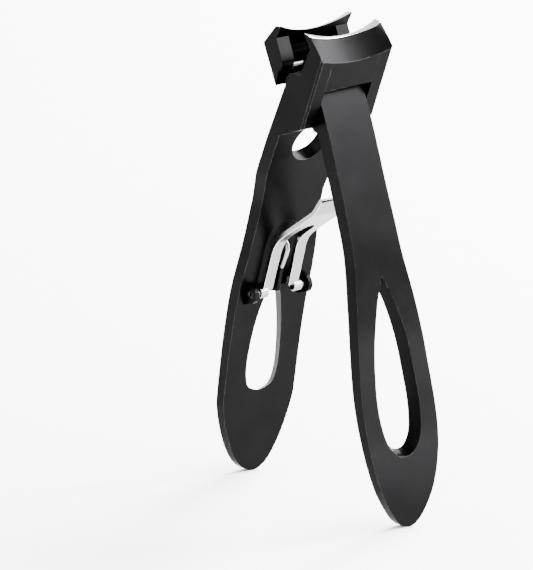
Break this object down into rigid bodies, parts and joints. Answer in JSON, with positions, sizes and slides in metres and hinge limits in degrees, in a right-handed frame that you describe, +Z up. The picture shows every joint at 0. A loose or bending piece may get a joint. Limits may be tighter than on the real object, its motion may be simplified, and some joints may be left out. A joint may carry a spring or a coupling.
{
  "type": "nail clipper",
  "caption": "Plier-type nail clipper with open skeleton handles, concave cutting jaws, a pivoting lever with return spring and a hinged chrome rebound arm.",
  "frame": {"origin": "on the floor midway between the two handle tips, below the pivot pin", "axes": "+Z up along the closed cutting direction, +X towards the lever handle, +Y along the pivot pin"},
  "size_m": [0.0544, 0.019, 0.1032],
  "materials": {
    "black_plated_steel": "satin black plated forging with thin bright edges",
    "black_plated_ears": "satin black plated small steel parts",
    "ground_steel": "ground and honed cutting land, dark plated bevel",
    "pin_steel": "turned steel",
    "spring_wire": "drawn spring wire",
    "pin_chrome": "polished",
    "arm_chrome": "bright chrome plated sheet",
    "rivet_black": "black plated flush rivets"
  },
  "bodies": {
    "frame": {"frame_handle": "black_plated_steel", "fixed_jaw": "ground_steel", "pivot_pin": "pin_steel", "near_pivot_washer": "pin_steel", "far_pivot_washer": "pin_steel", "opening_spring": "spring_wire", "frame_spring_pin": "pin_steel", "near_hinge_ear": "black_plated_ears", "far_hinge_ear": "black_plated_ears", "near_arm_pin": "pin_chrome", "far_arm_pin": "pin_chrome", "spring_post": "black_plated_ears", "arm_spring": "spring_wire"},
    "lever": {"lever_handle": "black_plated_steel", "pivot_bushing": "pin_steel", "moving_jaw": "black_plated_steel", "jaw_rivets": "rivet_black", "jaw_cross_pin": "pin_steel"},
    "arm": {"rebound_arm": "arm_chrome"}
  },
  "joints": [
    {"name": "lever_squeeze", "type": "hinge", "parent": "frame", "child": "lever", "pos_m": [0, 0, 0.0856], "axis": [0, 1, 0], "range_deg": [0, 23.6], "stiffness_Nm_per_rad": 0.08, "springref_deg": -20.05, "deforming": ["opening_spring"]},
    {"name": "arm_fold", "type": "hinge", "parent": "frame", "child": "arm", "pos_m": [-0.0165, 0, 0.0418], "axis": [0, -1, 0], "range_deg": [0, 8.6], "stiffness_Nm_per_rad": 0.004, "springref_deg": -17.19}
  ],
  "couplings": [
    {"joint": "arm_fold", "follows": "lever_squeeze", "ratio": 0.36}
  ]
}
